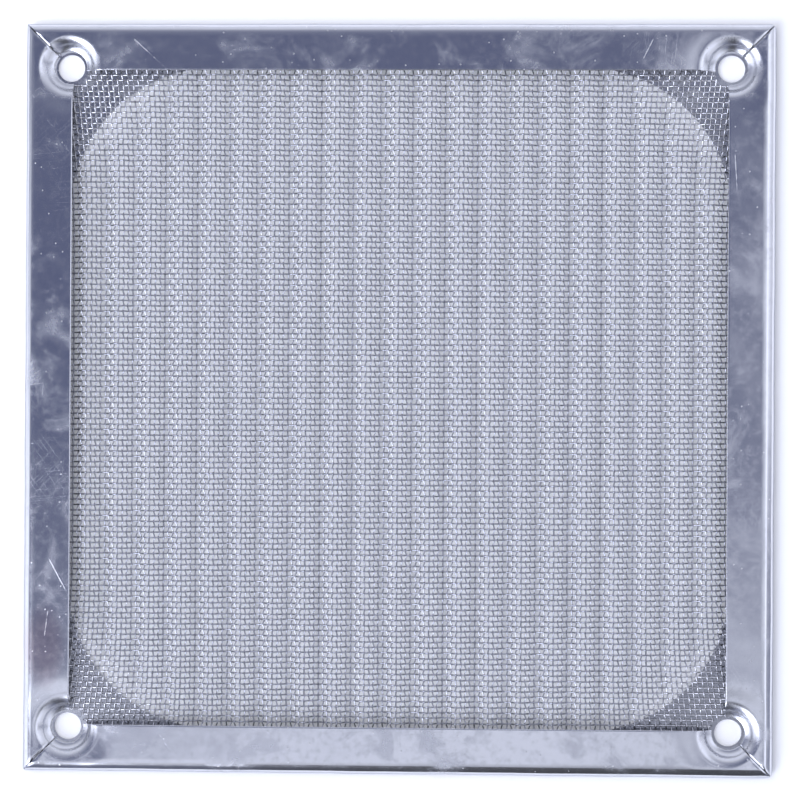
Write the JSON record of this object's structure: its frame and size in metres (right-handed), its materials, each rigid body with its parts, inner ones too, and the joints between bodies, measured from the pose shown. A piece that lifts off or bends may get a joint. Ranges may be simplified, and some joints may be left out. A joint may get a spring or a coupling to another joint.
{
  "type": "fan dust filter",
  "caption": "Square fan dust filter: a folded aluminium frame with dimpled corner screw holes clamps a corrugated woven wire screen.",
  "frame": {"origin": "centre of the back face, on the plane that lies on the fan", "axes": "+Z out of the front, +Y to the top edge along the ridges of the screen, +X to the right seen from the front"},
  "size_m": [0.119, 0.119, 0.003],
  "materials": {
    "frame_sheet": "bright rolled sheet with fine scratches",
    "screen_wire": "bright drawn wire, woven"
  },
  "bodies": {
    "root": {"folded_frame": "frame_sheet", "wire_mesh": "screen_wire"}
  },
  "joints": []
}
